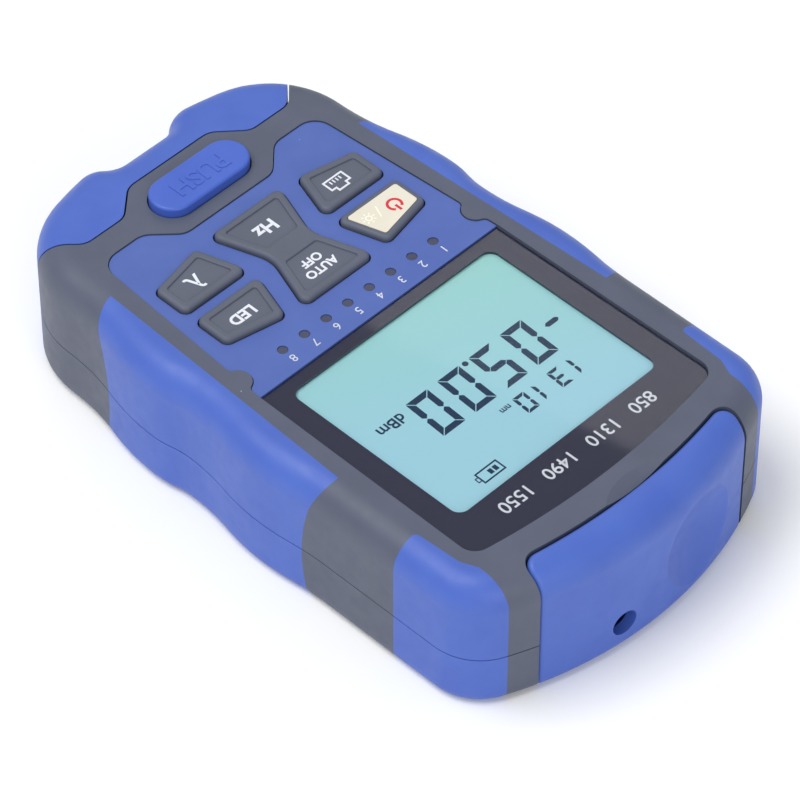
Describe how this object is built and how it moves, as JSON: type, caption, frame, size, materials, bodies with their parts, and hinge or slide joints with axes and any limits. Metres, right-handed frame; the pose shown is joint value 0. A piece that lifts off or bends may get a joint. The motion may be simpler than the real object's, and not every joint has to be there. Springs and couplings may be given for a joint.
{
  "type": "optical power meter",
  "caption": "Handheld optical power meter with display, keypad, hinged port cap and a detachable network test remote at its foot.",
  "frame": {"origin": "bottom centre of the bounding box, on the back face that it lies on", "axes": "+X right when reading the display, +Y toward the capped port end, +Z out of the display"},
  "size_m": [0.0738, 0.1231, 0.0288],
  "materials": {
    "case_grey": "soft-touch dark grey",
    "grip_blue": "satin blue, fine texture",
    "panel_blue": "satin blue, fine texture",
    "key_grey": "matte grey rubber",
    "ivory": "translucent ivory",
    "lens_clear": "clear gloss",
    "mask_black": "printed dark border",
    "lcd_cyan": "pale cyan display",
    "backlight_white": "white diffuser",
    "board_green": "solder-masked board",
    "switch_black": "moulded black",
    "lamp_smoke": "smoky translucent",
    "spring_steel": "drawn wire",
    "steel": "machined steel",
    "port_metal": "nickel plated",
    "torch_clear": "clear lamp",
    "cell_jacket": "plain sleeve",
    "jack_black": "moulded black"
  },
  "bodies": {
    "case": {"front_case": "case_grey", "rear_case": "case_grey", "front_grip_left": "grip_blue", "front_grip_right": "grip_blue", "front_corner_left": "grip_blue", "front_corner_right": "grip_blue", "rear_grip_left": "grip_blue", "rear_grip_right": "grip_blue", "rear_corner_left": "grip_blue", "rear_corner_right": "grip_blue", "display_lens": "lens_clear", "lens_mask": "mask_black", "lcd_panel": "lcd_cyan", "backlight": "backlight_white", "main_board": "board_green", "key_switches": "switch_black", "keypad_panel": "panel_blue", "indicator_lamps": "lamp_smoke", "release_spring": "spring_steel", "main_jack": "jack_black", "cap_pins": "steel", "meter_port": "port_metal", "fault_port": "port_metal", "detector": "steel", "laser_module": "steel", "torch_lamp": "torch_clear", "power_cells": "cell_jacket", "cell_contacts": "spring_steel", "case_screws": "steel"},
    "power_button": {"power_key": "key_grey", "power_key_insert": "ivory"},
    "network_button": {"network_key": "key_grey"},
    "lamp_button": {"lamp_key": "key_grey"},
    "wavelength_button": {"wavelength_key": "key_grey"},
    "rocker": {"rocker_key": "key_grey"},
    "release": {"release_button": "panel_blue"},
    "remote": {"remote_shell": "grip_blue", "remote_jack": "jack_black", "remote_board": "board_green"},
    "cap": {"end_cap": "grip_blue"},
    "door": {"battery_door": "case_grey"}
  },
  "joints": [
    {"name": "power_press", "type": "slide", "parent": "case", "child": "power_button", "axis": [0, 0, -1], "range_m": [0, 0.0008], "stiffness_N_per_m": 500},
    {"name": "network_press", "type": "slide", "parent": "case", "child": "network_button", "axis": [0, 0, -1], "range_m": [0, 0.0008], "stiffness_N_per_m": 500},
    {"name": "lamp_press", "type": "slide", "parent": "case", "child": "lamp_button", "axis": [0, 0, -1], "range_m": [0, 0.0008], "stiffness_N_per_m": 500},
    {"name": "wavelength_press", "type": "slide", "parent": "case", "child": "wavelength_button", "axis": [0, 0, -1], "range_m": [0, 0.0008], "stiffness_N_per_m": 500},
    {"name": "rocker_tilt", "type": "hinge", "parent": "case", "child": "rocker", "pos_m": [0, -0.02235, 0.02385], "axis": [1, 0, 0], "range_deg": [-2.5, 2.5], "stiffness_Nm_per_rad": 0.04},
    {"name": "release_press", "type": "slide", "parent": "case", "child": "release", "axis": [0, 0, -1], "range_m": [0, 0.0016], "stiffness_N_per_m": 900, "deforming": ["release_spring"]},
    {"name": "remote_slide", "type": "slide", "parent": "case", "child": "remote", "axis": [0, -1, 0], "range_m": [0, 0.035]},
    {"name": "cap_flip", "type": "hinge", "parent": "case", "child": "cap", "pos_m": [0, 0.04675, 0.005], "axis": [-1, 0, 0], "range_deg": [0, 85]},
    {"name": "door_swing", "type": "hinge", "parent": "case", "child": "door", "pos_m": [0, -0.02065, 0.0009], "axis": [-1, 0, 0], "range_deg": [0, 75]}
  ]
}
